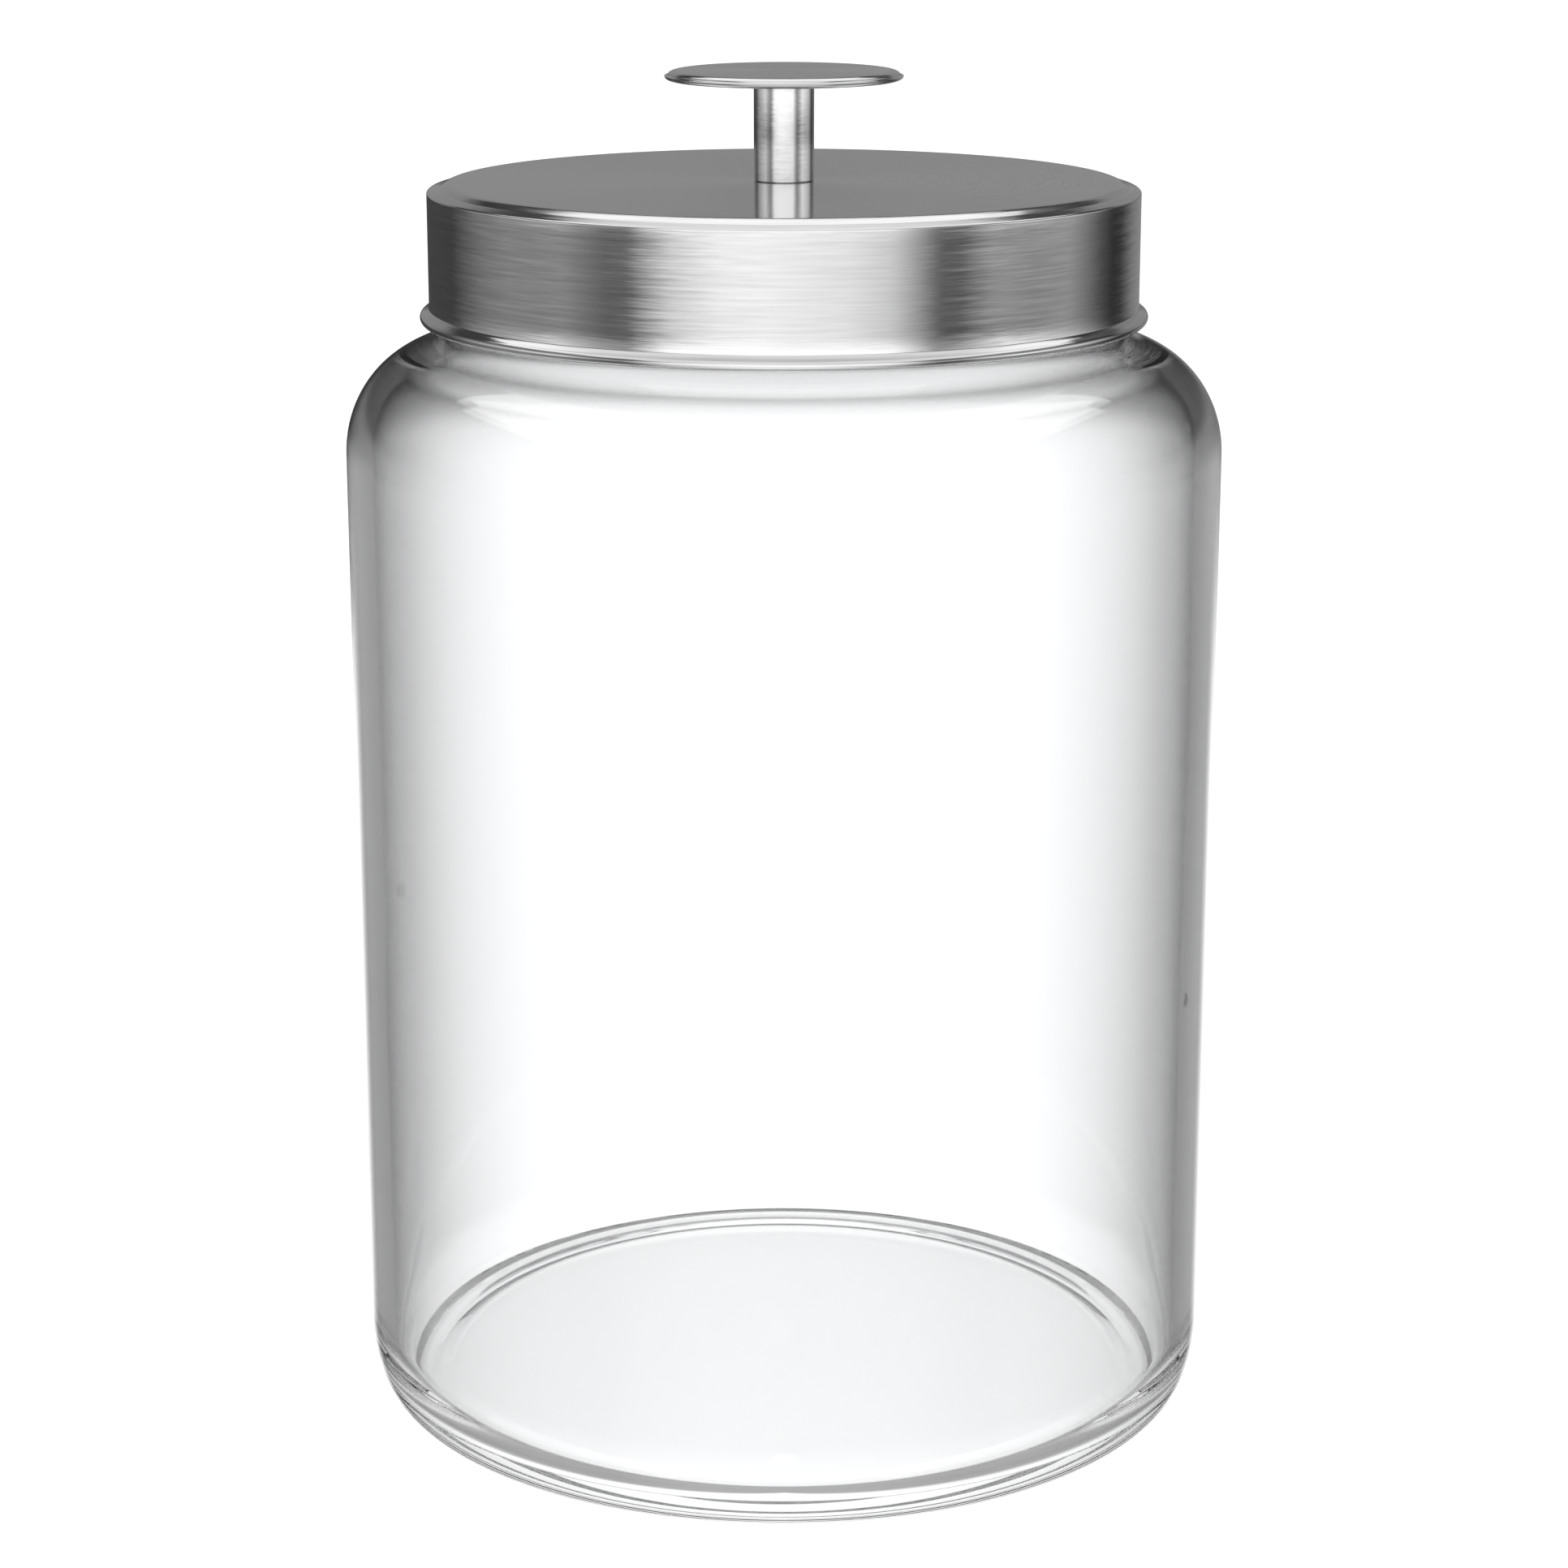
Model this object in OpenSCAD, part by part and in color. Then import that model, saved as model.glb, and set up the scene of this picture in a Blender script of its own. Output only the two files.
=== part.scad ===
// Large clear glass jar with a lift-off brushed steel lid and a T-shaped knob.
// Millimetres, +Z up. The origin is the centre of the face that the jar stands on.
// Everything is turned about the Z axis, apart from the ribs, the screw's recess
// and the lock washer's split.

/* [Jar] */
// Outside diameter of the jar's body
body_d = 220; // [218:1:226]
// Height of the glass rim above the table
rim_z = 308.4; // [306:0.2:312]
// Thickness of the glass wall
wall_t = 6.5; // [5:0.1:8]
// Height of the inside floor above the table
floor_z = 5.8; // [5:0.1:8]
// Diameter of the flat foot
foot_d = 204; // [198:1:208]
// Height of the rounded heel
heel_h = 21.4; // [18:0.2:26]
// Squareness of the heel's curve, 2 being a plain ellipse
heel_power = 2.3; // [2:0.1:2.8]
// Width of the bearing ring around the hollowed underside
foot_ring_w = 8; // [6:0.5:12]
// Depth of the hollow in the underside
push_up = 1.2; // [0.6:0.1:2]
// Height at which the shoulder starts to turn in
shoulder_z = 247.6; // [240:0.2:250]
// Width of the shoulder's curve
shoulder_w = 24.7; // [22:0.1:25.6]
// Height of the shoulder's curve
shoulder_h = 27.1; // [24:0.1:28]
// Outside diameter of the neck
neck_d = 170; // [166:1:172]
// Diameter of the mouth
mouth_d = 158; // [154:1:158]

/* [Lid] */
// Outside diameter of the lid's skirt
lid_d = 177.2; // [176.8:0.2:180]
// Thickness of the lid's sheet steel
sheet_t = 0.5; // [0.4:0.05:0.6]
// Height of the lid's top panel above the glass rim
panel_rise = 5.8; // [5.7:0.1:8]
// Drop from the top panel to the ledge around it
step_h = 1.2; // [1:0.05:1.4]
// Radius at which the top panel starts to turn down to the ledge
step_in_r = 82.4; // [82:0.1:82.8]
// Slope of the step between the panel and the ledge, in degrees
step_slope = 28; // [22:1:32]
// Slope of the ledge, in degrees
ledge_slope = 16; // [4:1:18]
// Radius of the corner between the ledge and the skirt
corner_r = 0.6; // [0.5:0.1:1.5]
// Depth of the lid from its top panel to where the skirt flares out into its bead
skirt_h = 30.7; // [24:0.1:31]
// Radius of the rolled bead's section
bead_r = 1.35; // [1.2:0.05:1.5]
// How far the bead stands out from the skirt
bead_out = 2.3; // [2:0.1:2.6]

/* [Liner and seal] */
// Thickness of the liner's disc and flange
liner_t = 1.6; // [1.4:0.1:1.7]
// Outside radius of the liner's flange
liner_r = 87.8; // [86:0.1:87.8]
// Outside radius of the plug that goes into the mouth
plug_r = 75.7; // [75:0.1:75.7]
// Thickness of the plug's wall
plug_t = 1.8; // [1.5:0.1:2.5]
// Depth of the plug below the liner's flange
plug_h = 14.3; // [12:0.1:20]
// Number of ribs under the liner
rib_count = 8; // [6:1:12]
// Thickness of the seal's sleeve and flange
seal_t = 1.3; // [1:0.1:1.3]
// Number of lips around the seal
lip_count = 3; // [2:1:3]

/* [Knob] */
// Largest diameter of the knob's disc
knob_d = 59.2; // [50:0.2:64]
// Height of the knob's stem
stem_h = 24.6; // [21:0.2:32]
// Thickness of the disc
knob_t = 2.5; // [2.3:0.1:3]
// Outside diameter of the knob's stem
stem_d = 15; // [13:0.5:18]
// Inside diameter of the knob's stem
stem_bore_d = 10; // [9:0.5:11]
// Length of the disc's spigot and of the insert, inside the stem
plug_in = 10; // [8:0.5:11]

/* [Fastener] */
// Thread diameter of the screw that holds the knob
screw_d = 5; // [4:0.5:5]
// Length of the screw under its head
screw_len = 14; // [12:1:15]
// Diameter of the screw's pan head
head_d = 9.5; // [9:0.1:10]
// Height of the screw's pan head
head_h = 3.2; // [2.6:0.1:3.6]
// Outside diameter of the flat washer
washer_d = 15; // [12:0.5:18]
// Thickness of the flat washer
washer_t = 1; // [0.8:0.1:1.2]
// Outside diameter of the lock washer
lock_d = 9.2; // [8.8:0.1:9.6]
// Thickness of the lock washer
lock_t = 1.2; // [1:0.1:1.4]

/* [Hidden] */
$fn = 128;

// Room between pieces that move past each other
gap = 0.3;
// Room around the screw in the holes that it passes through
screw_gap = 0.25;

// Heights that follow from the rim: liner, plug, lid panel, foot of the skirt and knob
liner_z = rim_z + seal_t + 2 * gap;
plug_z = liner_z - plug_h;
panel_z = rim_z + panel_rise;
skirt_z = panel_z - skirt_h;
knob_z = panel_z + stem_h;

body_r = body_d / 2;
foot_r = foot_d / 2;
neck_r = neck_d / 2;
mouth_r = mouth_d / 2;
lid_r = lid_d / 2;
bore_r = body_r - wall_t;
shoulder_r = body_r - shoulder_w;

// How far the shoulder's curve runs before the fillet up to the neck, in degrees
shoulder_end = 76;
shoulder_tip = [shoulder_r + shoulder_w * cos(shoulder_end),
                shoulder_z + shoulder_h * sin(shoulder_end)];
shoulder_normal = unit([cos(shoulder_end) / shoulder_w, sin(shoulder_end) / shoulder_h]);
// Radius and centre of that fillet, tangent to the shoulder's curve and to the neck
neck_fillet = (shoulder_tip[0] - neck_r) / (1 - shoulder_normal[0]);
fillet_c = shoulder_tip + neck_fillet * shoulder_normal;
fillet_start = 180 + atan2(shoulder_normal[1], shoulder_normal[0]);
// How far the inside of the shoulder's curve runs before the throat, in degrees, and where it ends
throat_start = 60;
inner_tip = [shoulder_r + (shoulder_w - wall_t) * cos(throat_start),
             shoulder_z + (shoulder_h - wall_t) * sin(throat_start)];
inner_normal = unit([cos(throat_start) / (shoulder_w - wall_t),
                     sin(throat_start) / (shoulder_h - wall_t)]);
// Radius and centre of the throat, tangent to that curve and to the mouth
throat_r = (inner_tip[0] - mouth_r) / (1 - inner_normal[0]);
throat_c = inner_tip + throat_r * inner_normal;
throat_end = 180 + atan2(inner_normal[1], inner_normal[0]);
// Width of the slope from the foot's bearing ring into the hollow underside
push_slope = 4;
// Radius of the fire-polished rim
rim_r = (neck_r - mouth_r) / 2;
// Width of the curve from the inside floor up to the wall
inner_heel_w = 10.5;

// Centre of the bead's section
bead_c = [lid_r + bead_out - bead_r, skirt_z - 2.15];
// Line from the foot of the skirt to the bead's centre, and its angle with the flare
bead_line = bead_c - [lid_r, skirt_z];
bead_turn = asin(bead_r / norm(bead_line));
flare_a = atan2(bead_line[1], bead_line[0]) + bead_turn;
// Where the curl of the bead stops, inside the skirt
bead_end = -205;

// Top of the knob's disc, its radius and the height of its lip
knob_top = knob_z + knob_t;
knob_r = knob_d / 2;
knob_lip_z = knob_z + 1.15;

screw_r = screw_d / 2;
screw_hole_r = screw_r + screw_gap;
washer_z = liner_z - washer_t;
lock_z = washer_z - lock_t;
head_z = lock_z - head_h;

// Points on an ellipse's arc about c, with half-axes r, from angle a0 to a1
function arc(c, r, a0, a1, n = 12) =
    [for (i = [0:n]) let (a = a0 + (a1 - a0) * i / n) c + [r[0] * cos(a), r[1] * sin(a)]];

// The same on a superellipse of the given power, from straight down to straight out
function heel(c, r, power, n = 12) =
    [for (i = [0:n]) let (a = 90 * i / n)
        c + [r[0] * pow(sin(a), 2 / power), -r[1] * pow(cos(a), 2 / power)]];

function reversed(p) = [for (i = [len(p) - 1:-1:0]) p[i]];

function unit(v) = v / norm(v);

// Direction of a path at its point i
function heading(p, i) =
    unit(p[min(i + 1, len(p) - 1)] - p[max(i - 1, 0)]);

// Outline of a sheet of thickness t whose outer face runs along path p
function sheet(p, t) =
    concat(p, reversed([for (i = [0:len(p) - 1])
        let (h = heading(p, i)) p[i] + t * [h[1], -h[0]]]));

module turned(points) {
    rotate_extrude() polygon(points);
}

module cylinder_at(r, low_z, high_z) {
    translate([0, 0, low_z]) cylinder(r = r, h = high_z - low_z);
}

module ring(outer_r, inner_r, low_z, high_z) {
    difference() {
        cylinder_at(outer_r, low_z, high_z);
        cylinder_at(inner_r, low_z - 1, high_z + 1);
    }
}

// One piece of pressed glass: foot, heel, wall, shoulder, neck and fire-polished rim.
module glass_jar() {
    outside = concat(
        [[foot_r - foot_ring_w, 0]],
        heel([foot_r, heel_h], [body_r - foot_r, heel_h], heel_power),
        arc([shoulder_r, shoulder_z], [shoulder_w, shoulder_h], 0, shoulder_end, 16),
        arc(fillet_c, [neck_fillet, neck_fillet], fillet_start, 180, 6),
        arc([neck_r - rim_r, rim_z - rim_r], [rim_r, rim_r], 0, 180));
    inside = concat(
        arc(throat_c, [throat_r, throat_r], 180, throat_end, 10),
        arc([shoulder_r, shoulder_z], [shoulder_w - wall_t, shoulder_h - wall_t],
            throat_start, 0, 12),
        reversed(heel([bore_r - inner_heel_w, heel_h],
            [inner_heel_w, heel_h - floor_z], heel_power)),
        [[0, floor_z], [0, push_up], [foot_r - foot_ring_w - push_slope, push_up]]);
    color([0.86, 0.92, 0.94, 0.35]) turned(concat(outside, inside));
}

// Soft ring that sits on the rim and wipes the inside of the neck with its lips.
module seal_ring() {
    sleeve_r = plug_r + gap;
    low_z = plug_z + 1.5 + gap;
    high_z = liner_z - gap;
    lip_r = mouth_r - gap;
    lip_root = 0.9;
    color([0.93, 0.94, 0.94]) union() {
        ring(sleeve_r + seal_t, sleeve_r, low_z, high_z);
        ring(neck_r - 0.5, sleeve_r, high_z - seal_t, high_z);
        for (i = [0:lip_count - 1]) translate([0, 0, low_z + 0.4 + 2.6 * i])
            turned([[sleeve_r + seal_t - 0.5, 0], [sleeve_r + seal_t, 0], [lip_r, 1.1],
                [lip_r, 1.5], [sleeve_r + seal_t, lip_root], [sleeve_r + seal_t - 0.5, lip_root]]);
    }
}

// Pressed sheet-steel cap: raised panel, sloping ledge, plain skirt and rolled bead.
module lid_shell() {
    step_bend = 4;
    foot_bend = 0.8;
    corner_bend = max(corner_r, sheet_t + 0.1);
    step_n = [sin(step_slope), cos(step_slope)];
    ledge_n = [sin(ledge_slope), cos(ledge_slope)];
    step_c = [step_in_r, panel_z - step_bend];
    run = (step_h - step_bend * (1 - step_n[1]) - foot_bend * (ledge_n[1] - step_n[1])) / step_n[0];
    foot_c = step_c + (step_bend + foot_bend) * step_n + run * [step_n[1], -step_n[0]];
    ledge_start = foot_c - foot_bend * ledge_n;
    corner_start_r = lid_r - corner_bend * (1 - ledge_n[0]);
    corner_start_z = ledge_start[1] - (corner_start_r - ledge_start[0]) * tan(ledge_slope);
    corner_c = [lid_r - corner_bend, corner_start_z - corner_bend * ledge_n[1]];
    outer = concat(
        [[screw_hole_r, panel_z]],
        arc(step_c, [step_bend, step_bend], 90, 90 - step_slope, 6),
        arc(foot_c, [foot_bend, foot_bend], 270 - step_slope, 270 - ledge_slope, 3),
        arc(corner_c, [corner_bend, corner_bend], 90 - ledge_slope, 0, 6),
        [[lid_r, skirt_z + 0.4], [lid_r + 0.1, skirt_z + 0.05]],
        arc(bead_c, [bead_r, bead_r], 90 + flare_a, bead_end, 16));
    color([0.72, 0.72, 0.73]) turned(sheet(outer, sheet_t));
}

// Moulded plastic inner lid: flange, plug, ribs and a boss that the screw clamps.
module lid_liner() {
    boss_r = 12;
    catch_r = plug_r + 1.1;
    rib_h = 1.5;
    color([0.92, 0.93, 0.93]) difference() {
        union() {
            turned([[0, liner_z], [liner_r, liner_z], [liner_r, liner_z + liner_t - 0.6],
                [liner_r - 0.6, liner_z + liner_t], [0, liner_z + liner_t]]);
            cylinder_at(boss_r, liner_z, panel_z - sheet_t);
            ring(plug_r, plug_r - plug_t, plug_z, liner_z + 0.5);
            turned([[plug_r - plug_t, plug_z], [plug_r, plug_z], [catch_r, plug_z + 0.9],
                [catch_r, plug_z + 1.2], [plug_r, plug_z + 1.5], [plug_r - plug_t, plug_z + 1.5]]);
            for (i = [0:rib_count - 1]) rotate(360 * i / rib_count)
                translate([washer_d / 2 + 2, -0.6, liner_z - rib_h])
                    cube([plug_r - plug_t / 2 - washer_d / 2 - 2, 1.2, rib_h + 0.5]);
        }
        cylinder_at(screw_hole_r, liner_z - 1, panel_z);
    }
}

// Steel tube that carries the knob's disc, with a slightly eased lower edge.
module knob_stem() {
    stem_r = stem_d / 2;
    ease = 0.3;
    color([0.75, 0.75, 0.76]) turned([[stem_bore_d / 2, panel_z], [stem_r - ease, panel_z],
        [stem_r, panel_z + ease], [stem_r, knob_z], [stem_bore_d / 2, knob_z]]);
}

// Thin turned disc: flat top, rounded shoulder, fine lip, and a bevel underneath.
// A spigot on its underside is pressed into the stem.
module knob_disc() {
    spigot_r = stem_bore_d / 2;
    ease = 0.5;
    shoulder_foot = [knob_r - 0.9, knob_lip_z + 0.35];
    shoulder_c = [shoulder_foot[0] - 2.6, shoulder_foot[1]];
    bevel_c = [knob_r - 2.1, knob_lip_z - 0.15];
    color([0.7, 0.7, 0.71]) turned(concat(
        [[0, knob_top]],
        arc(shoulder_c, [shoulder_foot[0] - shoulder_c[0], knob_top - shoulder_c[1]], 90, 0, 10),
        [shoulder_foot + [0.15, -0.15], [knob_r - 0.1, knob_lip_z + 0.08], [knob_r, knob_lip_z]],
        arc(bevel_c, [knob_r - 0.1 - bevel_c[0], bevel_c[1] - knob_z], 0, -90, 7),
        [[spigot_r, knob_z], [spigot_r, knob_z - plug_in + ease],
         [spigot_r - ease, knob_z - plug_in], [0, knob_z - plug_in]]));
}

// Threaded plug pressed into the lower end of the stem.
module knob_insert() {
    color("goldenrod") ring(stem_bore_d / 2, screw_r + 0.05, panel_z, panel_z + plug_in);
}

// Pan-head screw with a cross recess, put in from under the liner.
module knob_screw() {
    slot_w = 1.1;
    slot_len = 5.2;
    slot_h = 1.8;
    edge_r = 1.6;
    color("silver") difference() {
        turned(concat([[0, head_z]],
            arc([head_d / 2 - edge_r, head_z + edge_r], [edge_r, edge_r], 270, 360, 6),
            [[head_d / 2, lock_z], [screw_r, lock_z], [screw_r, lock_z + screw_len - 0.8],
             [screw_r - 0.8, lock_z + screw_len], [0, lock_z + screw_len]]));
        for (a = [0, 90]) rotate(a) translate([-slot_len / 2, -slot_w / 2, head_z - 1])
            cube([slot_len, slot_w, slot_h + 1]);
    }
}

module flat_washer() {
    color("silver") ring(washer_d / 2, screw_hole_r, washer_z, washer_z + washer_t);
}

// Split spring washer, drawn flat as when tightened.
module lock_washer() {
    split_w = 0.9;
    color("dimgray") difference() {
        ring(lock_d / 2, screw_hole_r, lock_z, lock_z + lock_t);
        translate([0, -split_w / 2, lock_z - 1]) cube([lock_d, split_w, lock_t + 2]);
    }
}

glass_jar();
seal_ring();
lid_shell();
lid_liner();
knob_stem();
knob_disc();
knob_insert();
knob_screw();
flat_washer();
lock_washer();
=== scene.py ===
"""The looks of the coin bank jar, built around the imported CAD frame.

Every piece but the screw, which keeps its CAD mesh, is turned or shaped here in fine mesh, in
the place that its CAD node has in the frame, and every piece gets a procedural material.
Lengths are in metres in the CAD frame. Sections are written in millimetres, as (radius,
height), or as (radius, height, corner radius) where rounded() rounds them, and scaled by MM.
"""
import math

import bmesh
import bpy
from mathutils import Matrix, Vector


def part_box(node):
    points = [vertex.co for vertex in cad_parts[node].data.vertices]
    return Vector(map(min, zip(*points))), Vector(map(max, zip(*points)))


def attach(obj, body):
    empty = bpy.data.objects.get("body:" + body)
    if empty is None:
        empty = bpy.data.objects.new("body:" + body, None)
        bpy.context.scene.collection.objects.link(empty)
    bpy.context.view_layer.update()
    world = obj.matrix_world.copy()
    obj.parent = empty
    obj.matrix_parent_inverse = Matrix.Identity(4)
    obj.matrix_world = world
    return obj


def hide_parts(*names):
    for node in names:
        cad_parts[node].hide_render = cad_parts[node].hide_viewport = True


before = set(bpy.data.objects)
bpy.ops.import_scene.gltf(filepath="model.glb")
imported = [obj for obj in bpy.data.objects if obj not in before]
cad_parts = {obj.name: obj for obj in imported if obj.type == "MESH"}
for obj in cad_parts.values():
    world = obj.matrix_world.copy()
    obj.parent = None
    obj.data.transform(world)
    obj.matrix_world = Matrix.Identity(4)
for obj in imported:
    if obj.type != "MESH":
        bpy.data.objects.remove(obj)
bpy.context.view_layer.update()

MM = 0.001
SIDES = 256
# Cycles' limit for paths inside the thick glass, where light is mirrored many times
BOUNCES = 64


# ---------------------------------------------------------------- sections and meshes

def arc(centre, half_axes, start, end, steps):
    """Points on an ellipse's arc, in degrees anticlockwise from straight out."""
    angles = [math.radians(start + (end - start) * i / steps) for i in range(steps + 1)]
    return [(centre[0] + half_axes[0] * math.cos(a), centre[1] + half_axes[1] * math.sin(a))
            for a in angles]


def heel(centre, half_axes, power, steps):
    """Points on a superellipse's quarter, from straight down to straight out."""
    points = []
    for i in range(steps + 1):
        a = math.radians(90 * i / steps)
        points.append((centre[0] + half_axes[0] * math.sin(a) ** (2 / power),
                       centre[1] - half_axes[1] * max(math.cos(a), 0.0) ** (2 / power)))
    return points


def rounded(corners, steps=5):
    """A closed section whose corners (radius, height, corner radius) are rounded."""
    points = []
    for i, (r, z, bend) in enumerate(corners):
        here = Vector((r, z))
        to_last = Vector(corners[i - 1][:2]) - here
        to_next = Vector(corners[(i + 1) % len(corners)][:2]) - here
        if bend <= 0:
            points.append((r, z))
            continue
        half = to_last.angle(to_next) / 2
        room = 0.49 * min(to_last.length, to_next.length)
        reach = min(bend / math.tan(half), room)
        bend = reach * math.tan(half)
        u, v = to_last.normalized(), to_next.normalized()
        centre = here + (u + v).normalized() * (bend / math.sin(half))
        first, last = here + u * reach - centre, here + v * reach - centre
        turn = first.angle(last)
        for k in range(steps + 1):
            t = k / steps
            spoke = (first * math.sin((1 - t) * turn) + last * math.sin(t * turn)) / math.sin(turn)
            points.append(tuple(centre + spoke))
    return points


def without_repeats(points, least=1e-4):
    """The section without points that lie on the one before."""
    kept = []
    for p in points:
        if not kept or math.dist(p, kept[-1]) > least:
            kept.append(p)
    if math.dist(kept[0], kept[-1]) <= least:
        kept.pop()
    return kept


def new_mesh(name, bm, sharp_degrees=None):
    """An object from a bmesh, shaded smooth but for edges sharper than the given angle."""
    bmesh.ops.recalc_face_normals(bm, faces=bm.faces)
    mesh = bpy.data.meshes.new(name)
    bm.to_mesh(mesh)
    bm.free()
    mesh.shade_smooth()
    if sharp_degrees is not None:
        mesh.set_sharp_from_angle(angle=math.radians(sharp_degrees))
    obj = bpy.data.objects.new(name, mesh)
    bpy.context.scene.collection.objects.link(obj)
    return obj


def turned_bmesh(section, sides=SIDES):
    """A closed section in millimetres turned about Z. Points on the axis become poles."""
    bm = bmesh.new()
    rings = []
    for r, z in without_repeats(section):
        if r < 1e-6:
            rings.append([bm.verts.new((0, 0, z * MM))])
            continue
        turns = [2 * math.pi * k / sides for k in range(sides)]
        rings.append([bm.verts.new((r * MM * math.cos(t), r * MM * math.sin(t), z * MM))
                      for t in turns])
    for ring, following in zip(rings, rings[1:] + rings[:1]):
        if len(ring) == 1 and len(following) == 1:
            continue
        for k in range(sides):
            quad = [ring[k % len(ring)], ring[(k + 1) % len(ring)],
                    following[(k + 1) % len(following)], following[k % len(following)]]
            bm.faces.new(list(dict.fromkeys(quad)))
    return bm


def turned(name, section, sides=SIDES, sharp_degrees=None):
    """An object from a closed section in millimetres turned about Z."""
    return new_mesh(name, turned_bmesh(section, sides), sharp_degrees)


def dress(obj, material, body, node):
    """Gives a piece its material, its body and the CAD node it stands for."""
    obj.data.materials.append(material)
    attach(obj, body)
    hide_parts(node)


# ---------------------------------------------------------------- node helpers

class Nodes:
    """Short calls for building a node tree. Each returns the output that it makes, and takes
    numbers or outputs as its values."""

    def __init__(self, tree):
        self.tree = tree
        tree.nodes.clear()

    def add(self, kind, **settings):
        node = self.tree.nodes.new(kind)
        for name, value in settings.items():
            setattr(node, name, value)
        return node

    def link(self, source, target):
        self.tree.links.new(source, target)

    def feed(self, socket, value):
        """Sets a socket to a number, or links an output to it."""
        if isinstance(value, (int, float)):
            socket.default_value = value
        else:
            self.link(value, socket)

    def math(self, operation, a, b=None, clamp=False):
        node = self.add("ShaderNodeMath", operation=operation, use_clamp=clamp)
        self.feed(node.inputs[0], a)
        if b is not None:
            self.feed(node.inputs[1], b)
        return node.outputs[0]

    def product(self, a, b):
        return self.math("MULTIPLY", a, b)

    def vector(self, operation, a, b=None):
        node = self.add("ShaderNodeVectorMath", operation=operation)
        self.link(a, node.inputs[0])
        if b is not None:
            self.link(b, node.inputs[1])
        return node.outputs[0]

    def scaled(self, vector, noise, amount):
        """The vector times how far a noise is from its middle, times an amount."""
        node = self.add("ShaderNodeVectorMath", operation="SCALE")
        self.link(vector, node.inputs[0])
        off = self.math("SUBTRACT", noise, 0.5)
        self.link(self.product(off, amount), node.inputs["Scale"])
        return node.outputs[0]

    def xyz(self, x, y, z):
        node = self.add("ShaderNodeCombineXYZ")
        for socket, value in zip(node.inputs, (x, y, z)):
            self.feed(socket, value)
        return node.outputs[0]

    def split(self, vector):
        """The X, Y and Z of a vector."""
        node = self.add("ShaderNodeSeparateXYZ")
        self.link(vector, node.inputs[0])
        return node.outputs

    def noise(self, vector, scale, detail, roughness):
        node = self.add("ShaderNodeTexNoise")
        self.link(vector, node.inputs["Vector"])
        node.inputs["Scale"].default_value = scale
        node.inputs["Detail"].default_value = detail
        node.inputs["Roughness"].default_value = roughness
        return node.outputs["Fac"]

    def spread(self, noise, low, high):
        """Maps the middle half of 0 to 1, where nearly all of a noise lies, to low to high."""
        node = self.add("ShaderNodeMapRange")
        self.link(noise, node.inputs["Value"])
        node.inputs["From Min"].default_value = 0.25
        node.inputs["From Max"].default_value = 0.75
        node.inputs["To Min"].default_value = low
        node.inputs["To Max"].default_value = high
        return node.outputs["Result"]

    def step_up(self, value, low, high):
        """Rises smoothly from 0 to 1 between two values, or falls if low is above high."""
        node = self.add("ShaderNodeMapRange", interpolation_type="SMOOTHSTEP")
        self.link(value, node.inputs["Value"])
        node.inputs["From Min"].default_value = low
        node.inputs["From Max"].default_value = high
        return node.outputs["Result"]

    def ramp(self, value, stops):
        """A grey that changes evenly between (place, tone) stops."""
        node = self.add("ShaderNodeValToRGB")
        node.color_ramp.interpolation = "LINEAR"
        elements = node.color_ramp.elements
        while len(elements) > 1:
            elements.remove(elements[-1])
        for i, (place, tone) in enumerate(stops):
            stop = elements[0] if i == 0 else elements.new(place)
            stop.position = place
            stop.color = (tone, tone, tone, 1)
        self.link(value, node.inputs["Fac"])
        return node.outputs["Color"]

    def mix(self, factor, a, b):
        """The colour a where the factor is 0 and b where it is 1. Each is a grey's tone, a
        colour or an output."""
        node = self.add("ShaderNodeMix", data_type="RGBA")
        self.link(factor, node.inputs["Factor"])
        for socket, value in ((node.inputs["A"], a), (node.inputs["B"], b)):
            if isinstance(value, float):
                socket.default_value = (value, value, value, 1)
            elif isinstance(value, (tuple, list)):
                socket.default_value = (*value, 1)
            else:
                self.link(value, socket)
        return node.outputs["Result"]

    def bump(self, height, strength, distance):
        node = self.add("ShaderNodeBump")
        node.inputs["Strength"].default_value = strength
        node.inputs["Distance"].default_value = distance
        self.link(height, node.inputs["Height"])
        return node.outputs["Normal"]


def new_material(name):
    """A material, the helper for its nodes and its Principled shader."""
    material = bpy.data.materials.new(name)
    material.use_nodes = True
    nodes = Nodes(material.node_tree)
    shader = nodes.add("ShaderNodeBsdfPrincipled")
    output = nodes.add("ShaderNodeOutputMaterial")
    nodes.link(shader.outputs[0], output.inputs["Surface"])
    return material, nodes, shader


def place(nodes):
    """The piece's own coordinates in the CAD frame."""
    return nodes.add("ShaderNodeTexCoord").outputs["Object"]


def round_place(nodes, along, across):
    """Coordinates that stretch a pattern around Z: along is how often it changes per radian,
    across how often per metre of radius or height."""
    x, y, z = nodes.split(place(nodes))
    radius = nodes.math("SQRT", nodes.math("ADD", nodes.product(x, x), nodes.product(y, y)))
    safe = nodes.math("MAXIMUM", radius, 1e-4)
    level = nodes.product(nodes.math("SUBTRACT", z, radius), across)
    return nodes.xyz(nodes.product(nodes.math("DIVIDE", x, safe), along),
                     nodes.product(nodes.math("DIVIDE", y, safe), along), level)


# ---------------------------------------------------------------- materials

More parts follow.
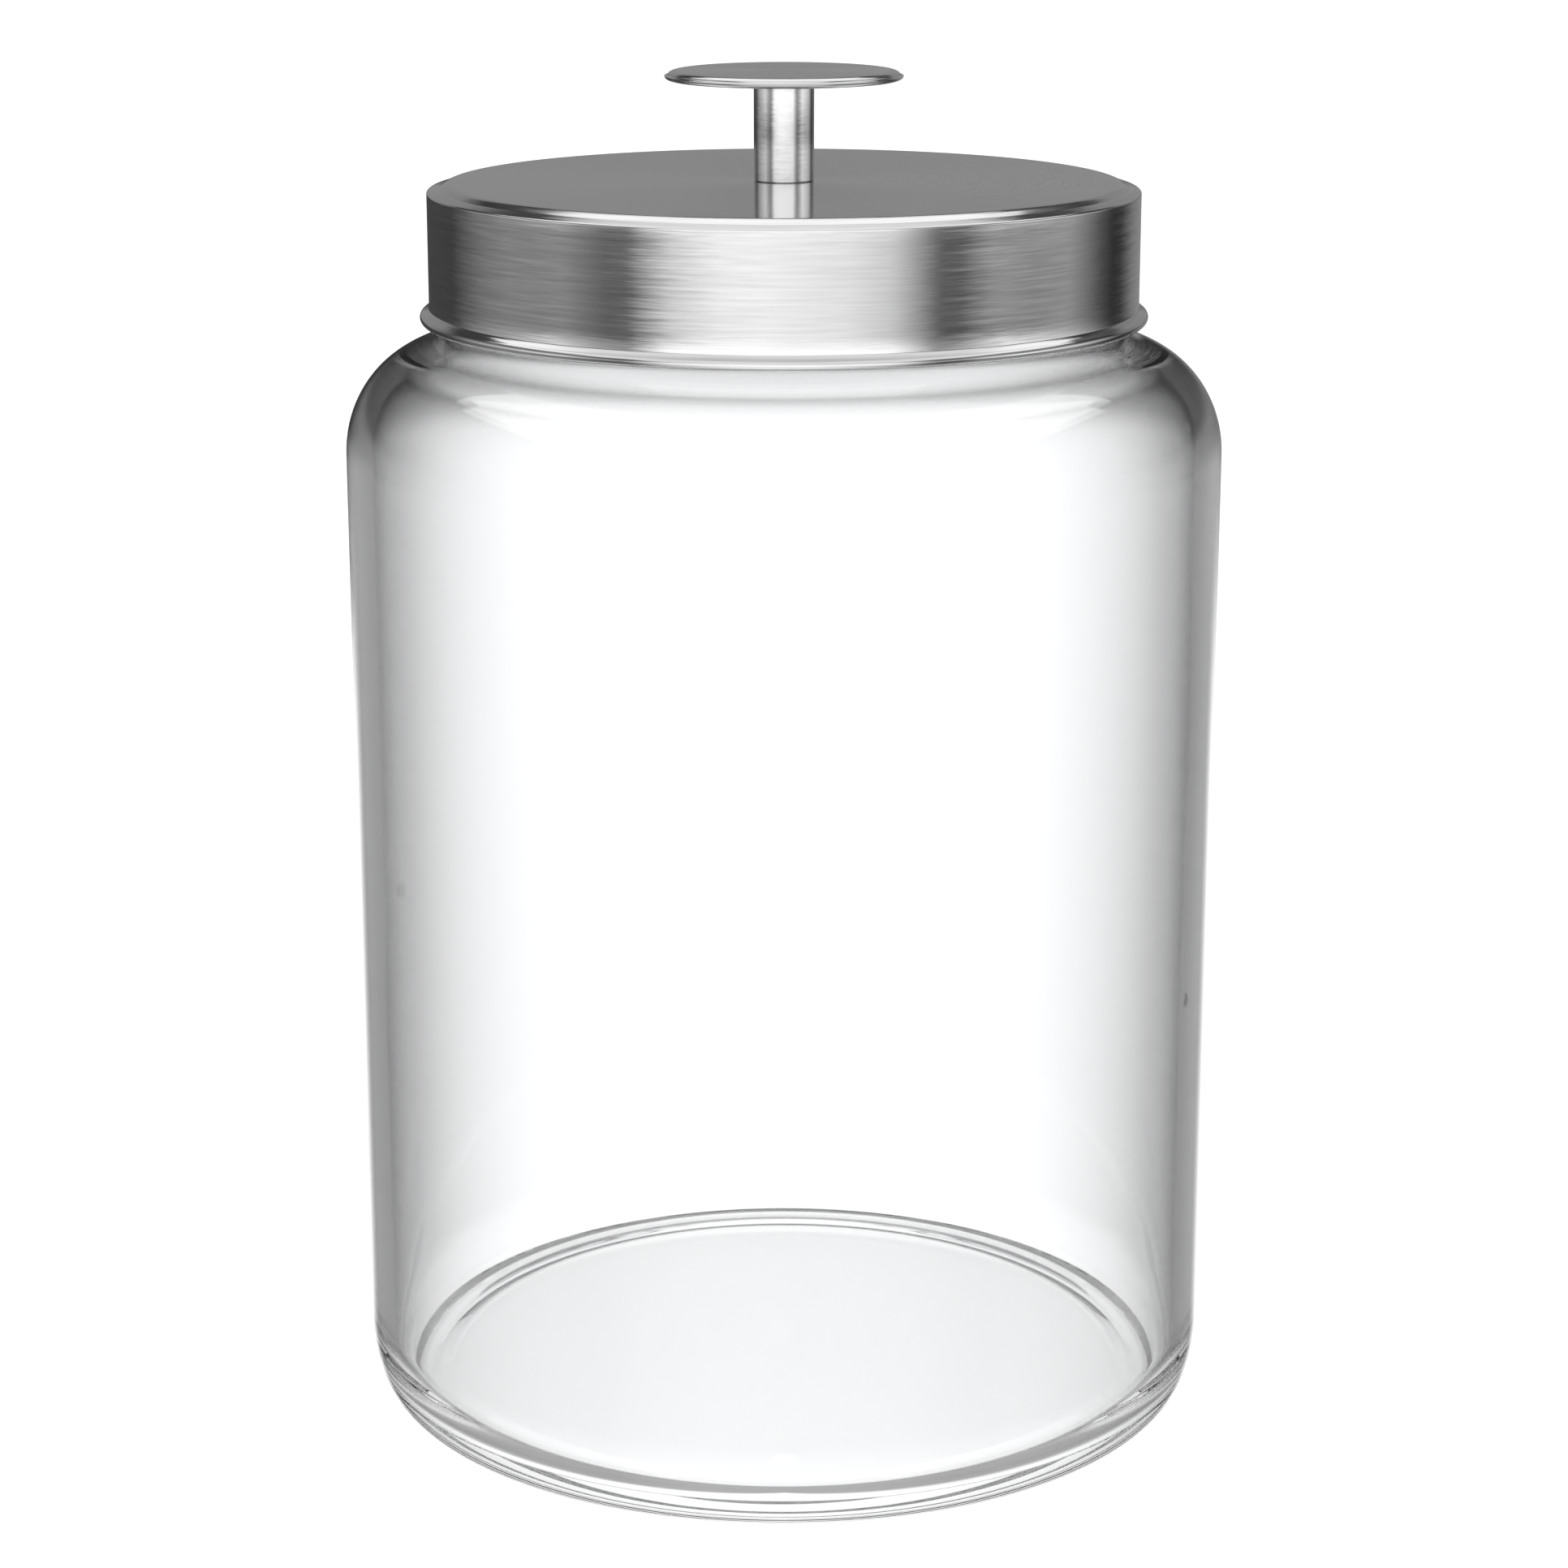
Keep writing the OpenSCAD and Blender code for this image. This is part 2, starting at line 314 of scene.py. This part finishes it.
def brushed_steel(name, tone, roughness, grain, streak, waver):
    """Steel brushed around the axis: fine streaks in its tone and gloss, and in which way its
    surface faces, so that mirrored edges look frayed. Waver is how far it leans along and
    across the brushing."""
    material, nodes, shader = new_material(name)
    fine = nodes.noise(round_place(nodes, streak, grain), 1.0, 2.0, 0.6)
    coarse = nodes.noise(round_place(nodes, streak * 0.4, grain * 0.3), 1.0, 2.0, 0.5)
    both = nodes.math("ADD", nodes.product(fine, 0.6), nodes.product(coarse, 0.4))
    dark, light = [c * 0.92 for c in tone], [min(c * 1.08, 1.0) for c in tone]
    nodes.link(nodes.mix(nodes.spread(coarse, 0.0, 1.0), dark, light), shader.inputs["Base Color"])
    nodes.link(nodes.spread(coarse, roughness * 0.8, roughness * 1.2), shader.inputs["Roughness"])
    brushing = nodes.add("ShaderNodeTangent", direction_type="RADIAL", axis="Z").outputs[0]
    nodes.link(brushing, shader.inputs["Tangent"])
    facing = nodes.add("ShaderNodeNewGeometry").outputs["Normal"]
    across = nodes.vector("CROSS_PRODUCT", facing, brushing)
    leaning = nodes.vector("ADD", facing, nodes.scaled(brushing, both, waver[0]))
    leaning = nodes.vector("ADD", leaning, nodes.scaled(across, fine, waver[1]))
    nodes.link(nodes.vector("NORMALIZE", leaning), shader.inputs["Normal"])
    shader.inputs["Metallic"].default_value = 1.0
    shader.inputs["Anisotropic"].default_value = 0.9
    shader.inputs["Anisotropic Rotation"].default_value = 0.25
    return material


def clear_glass():
    """Soda-lime glass with faint waviness and smudges. Its colour carries painted shade: it darkens where
    it turns away from the eye, most of all on the shoulder, and the neck is painted greyer with the lid's
    shade."""
    # Shares of painted shade, and the heights in metres between which each sets in
    edge_from, edge_power, edge_shade_share = 0.17, 1.5, 0.9
    wall = (0.02, 0.06)
    shoulder, shoulder_shade_extra = (0.246, 0.257), 0.7
    neck, neck_shade_share = (0.27, 0.281), 0.35
    clearness = (0.992, 0.996, 1.0)

    material, nodes, shader = new_material("clear_glass")
    wave = nodes.noise(place(nodes), 14.0, 1.0, 0.4)
    nodes.link(nodes.bump(wave, 0.06, 0.002), shader.inputs["Normal"])
    smudge = nodes.noise(place(nodes), 30.0, 3.0, 0.6)
    nodes.link(nodes.spread(smudge, 0.0, 0.004), shader.inputs["Roughness"])
    # Painted shade: the colour darkens where the glass turns away from the eye, standing in for the
    # darker studio that it mirrors and bends there
    layer = nodes.add("ShaderNodeLayerWeight")
    layer.inputs["Blend"].default_value = 0.5
    turned_away = nodes.math("SUBTRACT", layer.outputs["Facing"], edge_from)
    turned_away = nodes.math("MAXIMUM", turned_away, 0.0)
    painted_shade = nodes.product(nodes.math("POWER", turned_away, edge_power), edge_shade_share)
    # Near the foot only upright faces get the painted shade, so the floor of the jar stays clear
    normal = nodes.split(nodes.add("ShaderNodeNewGeometry").outputs["Normal"])
    upright = nodes.math("SUBTRACT", 1.0, nodes.math("ABSOLUTE", normal[2]))
    height = nodes.split(place(nodes))[2]
    painted_shade = nodes.product(painted_shade, nodes.math("MAXIMUM", upright, nodes.step_up(height, *wall)))
    shoulder_shade = nodes.product(nodes.step_up(height, *shoulder), shoulder_shade_extra)
    painted_shade = nodes.product(painted_shade, nodes.math("ADD", 1.0, shoulder_shade))
    after_painted_shade = nodes.math("POWER", nodes.math("SUBTRACT", 1.0, painted_shade, clamp=True), 2.0)
    # Painted shade on the neck, standing in for the shade that the lid casts on the glass
    shade = nodes.product(nodes.step_up(height, *neck), neck_shade_share)
    after_painted_shade = nodes.product(after_painted_shade, nodes.math("SUBTRACT", 1.0, shade))
    tint = nodes.add("ShaderNodeCombineColor")
    for socket, share in zip(tint.inputs, clearness):
        nodes.link(nodes.product(after_painted_shade, share), socket)
    nodes.link(tint.outputs[0], shader.inputs["Base Color"])
    shader.inputs["IOR"].default_value = 1.5
    shader.inputs["Transmission Weight"].default_value = 1.0
    return material


def moulded_plastic(name, tone, roughness, see_in=0.15):
    """Milky moulded plastic with a fine spark-eroded grain and a slight mottle."""
    material, nodes, shader = new_material(name)
    mottle = nodes.noise(place(nodes), 60.0, 3.0, 0.55)
    grain = nodes.noise(place(nodes), 2600.0, 2.0, 0.5)
    dark = [c * 0.95 for c in tone]
    nodes.link(nodes.mix(nodes.spread(mottle, 0.0, 1.0), dark, tone), shader.inputs["Base Color"])
    nodes.link(nodes.spread(grain, roughness * 0.85, roughness * 1.15), shader.inputs["Roughness"])
    nodes.link(nodes.bump(grain, 0.25, 0.00003), shader.inputs["Normal"])
    shader.inputs["Subsurface Weight"].default_value = see_in
    shader.inputs["Subsurface Radius"].default_value = (0.003, 0.003, 0.003)
    shader.inputs["Subsurface Scale"].default_value = 1.0
    return material


def plated_metal(name, tone, roughness):
    """Turned or stamped metal with faint turning marks and a slightly cloudy plating."""
    material, nodes, shader = new_material(name)
    marks = nodes.noise(round_place(nodes, 3.0, 5000.0), 1.0, 2.0, 0.5)
    cloud = nodes.noise(place(nodes), 300.0, 3.0, 0.6)
    dark = [c * 0.82 for c in tone]
    nodes.link(nodes.mix(nodes.spread(cloud, 0.0, 1.0), dark, tone), shader.inputs["Base Color"])
    nodes.link(nodes.spread(cloud, roughness * 0.7, roughness * 1.3), shader.inputs["Roughness"])
    nodes.link(nodes.bump(marks, 0.2, 0.00003), shader.inputs["Normal"])
    shader.inputs["Metallic"].default_value = 1.0
    return material


# ---------------------------------------------------------------- the pieces

def in_mm(node):
    """(lowest, highest) corner of a CAD node in millimetres."""
    low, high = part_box(node)
    return low / MM, high / MM


def curve_end(centre, half_axes, degrees):
    """The point at an angle on an ellipse's arc, and the direction that it faces there."""
    turn = math.radians(degrees)
    point = Vector((centre[0] + half_axes[0] * math.cos(turn), centre[1] + half_axes[1] * math.sin(turn)))
    return point, Vector((math.cos(turn) / half_axes[0], math.sin(turn) / half_axes[1])).normalized()


def make_jar(material):
    high = in_mm("glass_jar")[1]
    body, rim = high.x, high.z
    wall, floor, foot = 6.5, 5.8, 102.0
    heel_h, heel_power, inner_heel = 21.4, 2.3, 10.5
    shoulder_z, shoulder_w, shoulder_h = 247.6, 24.7, 27.1
    # Where the shoulder's curve ends and the neck's begins, in degrees up its arc
    outer_end, inner_end = 76, 60
    neck, mouth = 85.0, 79.0
    bore = body - wall
    lip = (neck - mouth) / 2
    shoulder = (body - shoulder_w, shoulder_z)
    outer_axes, inner_axes = (shoulder_w, shoulder_h), (shoulder_w - wall, shoulder_h - wall)

    # The hollowed underside, the bearing ring, the heel and the wall
    outside = [(0, 1.2), (30, 1.2), (60, 1.2), (86, 1.2), (89, 1.1), (92.5, 0.2), (95, 0), (98, 0)]
    outside += heel((foot, heel_h), (body - foot, heel_h), heel_power, 40)
    outside += [(body, z) for z in range(30, 247, 12)]
    # The shoulder, the fillet that runs it into the neck, and the round rim
    outside += arc(shoulder, outer_axes, 0, outer_end, 40)
    tip, normal = curve_end(shoulder, outer_axes, outer_end)
    bend = (tip.x - neck) / (1 - normal.x)
    facing = 180 + math.degrees(math.atan2(normal.y, normal.x))
    outside += arc(tip + bend * normal, (bend, bend), facing, 180, 10)
    outside += [(neck, 285), (neck, 295)]
    outside += arc((neck - lip, rim - lip), (lip, lip), 0, 180, 20)

    # The mouth, the throat, the shoulder from inside, the wall and the floor
    inside = [(mouth, 297), (mouth, 290)]
    tip, normal = curve_end(shoulder, inner_axes, inner_end)
    bend = (tip.x - mouth) / (1 - normal.x)
    facing = 180 + math.degrees(math.atan2(normal.y, normal.x))
    inside += arc(tip + bend * normal, (bend, bend), 180, facing, 20)
    inside += arc(shoulder, inner_axes, inner_end, 0, 34)
    inside += [(bore, z) for z in range(236, 24, -12)]
    inside += heel((bore - inner_heel, heel_h), (inner_heel, heel_h - floor), heel_power, 36)[::-1]
    inside += [(80, floor), (60, floor), (30, floor), (0, floor)]
    dress(turned("jar_glass", outside + inside), material, "jar", "glass_jar")


def sheet_section(path, thickness):
    """A closed section whose outer face runs along a path, with the sheet on its right."""
    inner = []
    for i, point in enumerate(path):
        ahead, behind = path[min(i + 1, len(path) - 1)], path[max(i - 1, 0)]
        along = (Vector(ahead) - Vector(behind)).normalized()
        inner.append((point[0] + thickness * along.y, point[1] - thickness * along.x))
    return path + inner[::-1]


def facing_out(degrees):
    """The direction that a face sloping down and out by an angle faces."""
    return Vector((math.sin(math.radians(degrees)), math.cos(math.radians(degrees))))


def make_lid_shell(material):
    high = in_mm("lid_shell")[1]
    panel, bead_out_r = high.z, high.x
    sheet, hole = 0.5, 2.75
    skirt_r, skirt_z = bead_out_r - 2.3, panel - 30.7
    step_in, step_h, step_slope, ledge_slope = 82.4, 1.2, 28, 16
    step_bend, foot_bend, corner, bead = 4.0, 0.8, 0.6, 1.35

    # The bend over the step's edge, the bend at its foot, and the ledge's height at the corner
    step_n, ledge_n = facing_out(step_slope), facing_out(ledge_slope)
    step_c = Vector((step_in, panel - step_bend))
    run = (step_h - step_bend * (1 - step_n.y) - foot_bend * (ledge_n.y - step_n.y)) / step_n.x
    foot_c = step_c + (step_bend + foot_bend) * step_n + run * Vector((step_n.y, -step_n.x))
    ledge = foot_c - foot_bend * ledge_n
    start_r = skirt_r - corner * (1 - ledge_n.x)
    start_z = ledge.y - (start_r - ledge.x) * ledge_n.x / ledge_n.y
    # Where the skirt's flare meets the bead
    bead_c = (bead_out_r - bead, skirt_z - 2.15)
    line = Vector((bead_c[0] - skirt_r, bead_c[1] - skirt_z))
    flare = math.degrees(math.atan2(line.y, line.x) + math.asin(bead / line.length))

    path = [(hole, panel), (8, panel)] + [(r, panel) for r in range(12, 80, 6)]
    path += arc(step_c, (step_bend, step_bend), 90, 90 - step_slope, 16)
    path += arc(foot_c, (foot_bend, foot_bend), 270 - step_slope, 270 - ledge_slope, 6)
    path += arc((skirt_r - corner, start_z - corner * ledge_n.y), (corner, corner),
                90 - ledge_slope, 0, 12)
    path += [(skirt_r, z) for z in range(309, 285, -3)]
    path += [(skirt_r, skirt_z + 0.25), (skirt_r + 0.03, skirt_z + 0.1),
             (skirt_r + 0.12, skirt_z - 0.06)]
    path += arc(bead_c, (bead, bead), 90 + flare, -205, 40)
    dress(turned("lid_cap", sheet_section(path, sheet), sharp_degrees=50), material,
          "lid", "lid_shell")


def make_liner(material):
    low, high = in_mm("lid_liner")
    flange_r, foot = high.x, low.z
    flange_z, flange_top, boss_top = foot + 14.3, foot + 15.9, high.z
    plug_r, plug_in, hole, boss = 75.7, 73.9, 2.75, 12.0
    section = rounded([
        (hole, flange_z, 0.2), (plug_in, flange_z, 1.0), (plug_in, foot, 0.5), (plug_r, foot, 0.4),
        (plug_r + 1.1, foot + 0.95, 0.3), (plug_r, foot + 1.5, 0.2), (plug_r, flange_z, 0.1),
        (flange_r, flange_z, 0.4), (flange_r, flange_top, 0.5), (boss, flange_top, 0.3),
        (boss, boss_top, 0.3), (hole, boss_top, 0.2)])
    bm = turned_bmesh(section, 192)
    add_ribs(bm, count=8, inner=9.5, outer=plug_in + 0.4, top=flange_z, height=1.5, width=1.2)
    dress(new_mesh("lid_plug", bm, 35), material, "lid", "lid_liner")


def add_ribs(bm, count, inner, outer, top, height, width):
    """Radial ribs under the liner's disc, with drafted sides and rounded lower edges."""
    side = [(-width / 2, 0.3), (-width / 2 * 0.85, -height + 0.35), (-width / 2 * 0.55, -height),
            (width / 2 * 0.55, -height), (width / 2 * 0.85, -height + 0.35), (width / 2, 0.3)]
    for i in range(count):
        turn = 2 * math.pi * i / count
        c, s = math.cos(turn), math.sin(turn)
        ends = []
        for r in (inner, outer):
            ends.append([bm.verts.new(((r * c - y * s) * MM, (r * s + y * c) * MM, (top + z) * MM))
                         for y, z in side])
        for k in range(len(side)):
            n = (k + 1) % len(side)
            bm.faces.new((ends[0][k], ends[0][n], ends[1][n], ends[1][k]))
        bm.faces.new(ends[0][::-1])
        bm.faces.new(ends[1])


def make_seal(material):
    low, high = in_mm("seal_ring")
    foot, top = low.z, high.z
    sleeve, thick, lip_r, flange = 76.0, 1.3, 78.7, high.x
    lips, first_lip, pitch = 3, 0.4, 2.6
    corners = [(sleeve, top, 0.25), (sleeve, foot, 0.25), (sleeve + thick, foot, 0.2)]
    for i in range(lips):
        z = foot + first_lip + pitch * i
        corners += [(sleeve + thick, z, 0.15), (lip_r, z + 1.1, 0.15), (lip_r, z + 1.5, 0.15),
                    (sleeve + thick, z + 0.9, 0.15)]
    corners += [(sleeve + thick, top - thick, 0.4), (flange, top - thick, 0.4), (flange, top, 0.4)]
    dress(turned("soft_seal", rounded(corners), 192, 50), material,
          "seal", "seal_ring")


def make_stem(material):
    low, high = in_mm("knob_stem")
    outer, inner = high.x, 5.0
    section = rounded([(inner, low.z, 0.1), (outer, low.z, 0.35), (outer, high.z, 0.1),
                       (inner, high.z, 0.1)])
    dress(turned("knob_tube", section, 128, 50), material, "lid", "knob_stem")


def make_knob(material):
    low, high = in_mm("knob_disc")
    outer, top, under, spigot = high.x, high.z, high.z - 2.5, 5.0
    lip = under + 1.15
    foot = (outer - 0.9, lip + 0.35)
    bevel = (outer - 2.1, lip - 0.15)
    section = [(0, top)] + [(r, top) for r in range(4, 26, 4)]
    section += arc((foot[0] - 2.6, foot[1]), (2.6, top - foot[1]), 90, 0, 24)
    section += [(foot[0] + 0.05, foot[1] - 0.1), (foot[0] + 0.2, foot[1] - 0.2),
                (outer - 0.2, lip + 0.1), (outer - 0.05, lip + 0.06), (outer, lip),
                (outer - 0.05, lip - 0.08)]
    section += arc(bevel, (outer - 0.1 - bevel[0], bevel[1] - under), 0, -90, 16)
    section += [(20, under), (12, under), (spigot, under), (spigot, low.z + 0.5),
                (spigot - 0.5, low.z), (0, low.z)]
    dress(turned("knob_top", section, 192, 40), material, "lid", "knob_disc")


def make_insert(material):
    low, high = in_mm("knob_insert")
    outer, bore = high.x, 2.55
    section = rounded([(bore, low.z, 0.15), (outer, low.z, 0.2), (outer, high.z, 0.2),
                       (bore, high.z, 0.15)])
    dress(turned("thread_insert", section, 64, 50), material,
          "lid", "knob_insert")


def make_flat_washer(material):
    low, high = in_mm("flat_washer")
    hole = 2.75
    section = rounded([(hole, low.z, 0.12), (high.x, low.z, 0.2), (high.x, high.z, 0.2),
                       (hole, high.z, 0.12)])
    dress(turned("washer_flat", section, 96, 50), material,
          "lid", "flat_washer")


def make_lock_washer(material):
    """A flat-coiled ring of square wire, open at its split."""
    low, high = in_mm("lock_washer")
    inner, outer, middle, half_split, steps = 2.75, 4.6, 3.7, 0.45, 72
    section = rounded([(inner, low.z, 0.15), (outer, low.z, 0.15), (outer, high.z, 0.15),
                       (inner, high.z, 0.15)], 3)
    half_gap = math.asin(half_split / middle)
    bm = bmesh.new()
    rings = []
    for k in range(steps + 1):
        turn = half_gap + (2 * math.pi - 2 * half_gap) * k / steps
        rings.append([bm.verts.new((r * MM * math.cos(turn), r * MM * math.sin(turn), z * MM))
                      for r, z in section])
    for ring, following in zip(rings, rings[1:]):
        for k in range(len(section)):
            n = (k + 1) % len(section)
            bm.faces.new((ring[k], ring[n], following[n], following[k]))
    bm.faces.new(rings[0])
    bm.faces.new(rings[-1][::-1])
    dress(new_mesh("washer_spring", bm, 40), material,
          "lid", "lock_washer")


def make_screw(material):
    """The CAD screw's shape is right, so it keeps its mesh and gets a material."""
    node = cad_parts["knob_screw"]
    node.data.materials.clear()
    node.data.materials.append(material)


# ---------------------------------------------------------------- stage, light and camera

# Tones of the studio. A ramp's colours stop at 1, so they are kept divided by the GAIN that
# the background's strength puts back.
GAIN = 2.0
BACKDROP = 1.19
# In the steel: the softbox's near and far parts, and the wall behind the jar, low and high
SOFTBOX, SOFTBOX_BACK, BEHIND, ABOVE = 1.05, 1.45, 0.29, 0.05
# In the glass: the softbox, the wall behind, the table's far edge, and light mirrored twice
GLASS_SOFTBOX, GLASS_BEHIND, TABLE, TRAPPED = 1.9, 0.05, 1.5, 1.1
# Tones of the walls by azimuth, in degrees from straight in front of the jar
WALLS = [(-180, 0.06), (-132, 0.06), (-112, 0.22), (-98, 0.29), (-74, 0.28), (-58, 0.13),
         (-50, 0.15), (-36, 0.82), (-20, 1.25), (-6, 1.3), (20, 1.08), (34, 0.78), (50, 0.12),
         (57, 0.12), (68, 0.34), (84, 0.3), (102, 0.37), (121, 0.09), (130, 0.03),
         (137, 0.05), (150, 0.23), (160, 0.27), (180, 0.27)]
# The same just above the horizon, as the steel mirrors them
HIGH = [(-180, 0.1), (-128, 0.1), (-105, 0.6), (-75, 1.15), (-60, 0.6), (-50, 0.45),
        (-36, 1.7), (34, 1.7), (48, 0.5), (57, 0.6), (75, 1.5), (105, 0.9), (128, 0.1),
        (180, 0.1)]
# The same as they are mirrored inside the glass
IN_GLASS = [(-180, 1.3), (-170, 1.3), (-163, 1.2), (-156, 0.85), (-149, 0.6), (-143, 0.46),
            (-130, 0.4), (130, 0.4), (143, 0.42), (149, 0.55), (156, 0.75), (163, 1.0),
            (170, 1.2), (180, 1.3)]


def met_no_mirror(nodes, path):
    """1 for rays that have met no mirror or matt surface, since only they see the backdrop."""
    bounced = nodes.math("ADD", path["Glossy Depth"], path["Diffuse Depth"])
    return nodes.math("LESS_THAN", bounced, 0.5)


def within(nodes, across, widest, along, nearest, farthest):
    """1 for rays inside a soft-edged rectangle overhead, 0 outside."""
    inside = nodes.step_up(across, widest + 0.03, widest - 0.03)
    inside = nodes.product(inside, nodes.step_up(along, nearest - 0.03, nearest + 0.03))
    return nodes.product(inside, nodes.step_up(along, farthest + 0.04, farthest - 0.03))


def make_world():
    """A white backdrop, and around it a grey studio: a wide softbox overhead, and walls whose
    tone changes round the horizon."""
    world = bpy.data.worlds.new("studio")
    bpy.context.scene.world = world
    world.use_nodes = True
    nodes = Nodes(world.node_tree)
    x, y, z = nodes.split(nodes.add("ShaderNodeTexCoord").outputs["Generated"])
    turn = nodes.math("ARCTAN2", x, nodes.product(y, -1.0))
    share = nodes.math("ADD", nodes.math("DIVIDE", turn, 2 * math.pi), 0.5)

    def walls(stops):
        return nodes.ramp(share, [((azimuth + 180) / 360, tone / GAIN) for azimuth, tone in stops])

    # Where a ray meets the ceiling, in multiples of the ceiling's height
    height = nodes.math("MAXIMUM", z, 0.001)
    across = nodes.math("ABSOLUTE", nodes.math("DIVIDE", x, height))
    along = nodes.math("DIVIDE", y, height)
    overhead = within(nodes, across, 0.96, along, -1.21, 1.01)
    overhead_back = within(nodes, across, 0.36, along, 1.01, 1.55)
    above = nodes.step_up(z, -0.05, 0.05)
    far = nodes.step_up(y, 0.6, 0.85)
    sides = walls(WALLS)

    # What the steel mirrors
    near_horizon = nodes.product(nodes.step_up(z, -0.1, 0.02), nodes.step_up(z, 0.35, 0.2))
    metal = nodes.mix(near_horizon, sides, walls(HIGH))
    behind = nodes.mix(nodes.step_up(z, 0.33, 0.45), BEHIND / GAIN, ABOVE / GAIN)
    metal = nodes.mix(nodes.product(above, far), metal, behind)
    panel = nodes.mix(nodes.step_up(along, 0.2, 0.5), SOFTBOX / GAIN, SOFTBOX_BACK / GAIN)
    metal = nodes.mix(overhead, metal, panel)
    metal = nodes.mix(overhead_back, metal, SOFTBOX / GAIN)

    # What the glass mirrors: the walls, the table's far edge, and the softbox
    off_front = nodes.math("ABSOLUTE", turn)
    edge = nodes.step_up(off_front, math.radians(151), math.radians(164))
    edge = nodes.product(edge, nodes.step_up(z, -0.165, -0.26))
    path = nodes.add("ShaderNodeLightPath").outputs
    through_glass = nodes.math("GREATER_THAN", path["Transmission Depth"], 0.5)
    glass = nodes.mix(edge, sides, TABLE / GAIN)
    glass = nodes.mix(through_glass, glass, walls(IN_GLASS))
    glass = nodes.mix(above, glass, nodes.mix(far, sides, GLASS_BEHIND / GAIN))
    glass = nodes.mix(overhead, glass, GLASS_SOFTBOX / GAIN)

    # Only a smooth surface such as the glass sends a ray on in a single direction
    tone = nodes.mix(path["Is Singular Ray"], metal, glass)
    mirrored_again = nodes.math("GREATER_THAN", path["Glossy Depth"], 1.5)
    tone = nodes.mix(nodes.product(through_glass, mirrored_again), tone, TRAPPED / GAIN)
    studio = nodes.add("ShaderNodeBackground")
    studio.inputs["Strength"].default_value = GAIN
    nodes.link(tone, studio.inputs["Color"])
    backdrop = nodes.add("ShaderNodeBackground")
    backdrop.inputs["Strength"].default_value = BACKDROP
    backdrop.inputs["Color"].default_value = (1, 1, 1, 1)
    mix = nodes.add("ShaderNodeMixShader")
    nodes.link(met_no_mirror(nodes, path), mix.inputs[0])
    nodes.link(studio.outputs[0], mix.inputs[1])
    nodes.link(backdrop.outputs[0], mix.inputs[2])
    output = nodes.add("ShaderNodeOutputWorld")
    nodes.link(mix.outputs[0], output.inputs["Surface"])


def make_floor():
    """A plain white floor, lit like the backdrop, that mirrored rays pass."""
    bm = bmesh.new()
    bmesh.ops.create_circle(bm, cap_ends=True, segments=96, radius=12.0)
    floor = new_mesh("floor", bm)
    floor.location.z = -0.0004
    material = bpy.data.materials.new("floor_white")
    material.use_nodes = True
    nodes = Nodes(material.node_tree)
    glow = nodes.add("ShaderNodeEmission")
    glow.inputs["Color"].default_value = (1, 1, 1, 1)
    glow.inputs["Strength"].default_value = BACKDROP
    clear = nodes.add("ShaderNodeBsdfTransparent")
    mix = nodes.add("ShaderNodeMixShader")
    nodes.link(met_no_mirror(nodes, nodes.add("ShaderNodeLightPath").outputs), mix.inputs[0])
    nodes.link(clear.outputs[0], mix.inputs[1])
    nodes.link(glow.outputs[0], mix.inputs[2])
    output = nodes.add("ShaderNodeOutputMaterial")
    nodes.link(mix.outputs[0], output.inputs["Surface"])
    floor.data.materials.append(material)


def make_camera():
    """The camera looks down at the jar from in front, a little above the lid. Its place is in
    multiples of the body's radius."""
    back, up, looking_down = 8.764, 3.762, 14.80
    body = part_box("glass_jar")[1].x
    camera = bpy.data.cameras.new("camera")
    camera.lens = 88.5
    camera.sensor_width = 36.0
    camera.clip_end = 50.0
    obj = bpy.data.objects.new("camera", camera)
    obj.location = (0, -back * body, up * body)
    obj.rotation_euler = (math.radians(90 - looking_down), 0, 0)
    bpy.context.scene.collection.objects.link(obj)
    bpy.context.scene.camera = obj


make_camera()
make_world()
make_floor()
bpy.context.scene.view_settings.view_transform = "Standard"
cycles = bpy.context.scene.cycles
cycles.max_bounces = cycles.transmission_bounces = cycles.glossy_bounces = BOUNCES

lid_steel = brushed_steel("lid_steel", (0.64, 0.64, 0.645), 0.12, 4200.0, 10.0, (0.15, 0.1))
knob_steel = brushed_steel("knob_steel", (0.66, 0.66, 0.665), 0.12, 5000.0, 4.0, (0.1, 0.08))
zinc = plated_metal("zinc_plate", (0.72, 0.73, 0.72), 0.28)
make_jar(clear_glass())
make_lid_shell(lid_steel)
make_liner(moulded_plastic("liner_plastic", (0.84, 0.85, 0.85), 0.38))
make_seal(moulded_plastic("seal_silicone", (0.78, 0.79, 0.79), 0.5, 0.35))
make_stem(knob_steel)
make_knob(knob_steel)
make_insert(plated_metal("insert_brass", (0.78, 0.6, 0.3), 0.25))
make_flat_washer(zinc)
make_lock_washer(zinc)
make_screw(zinc)
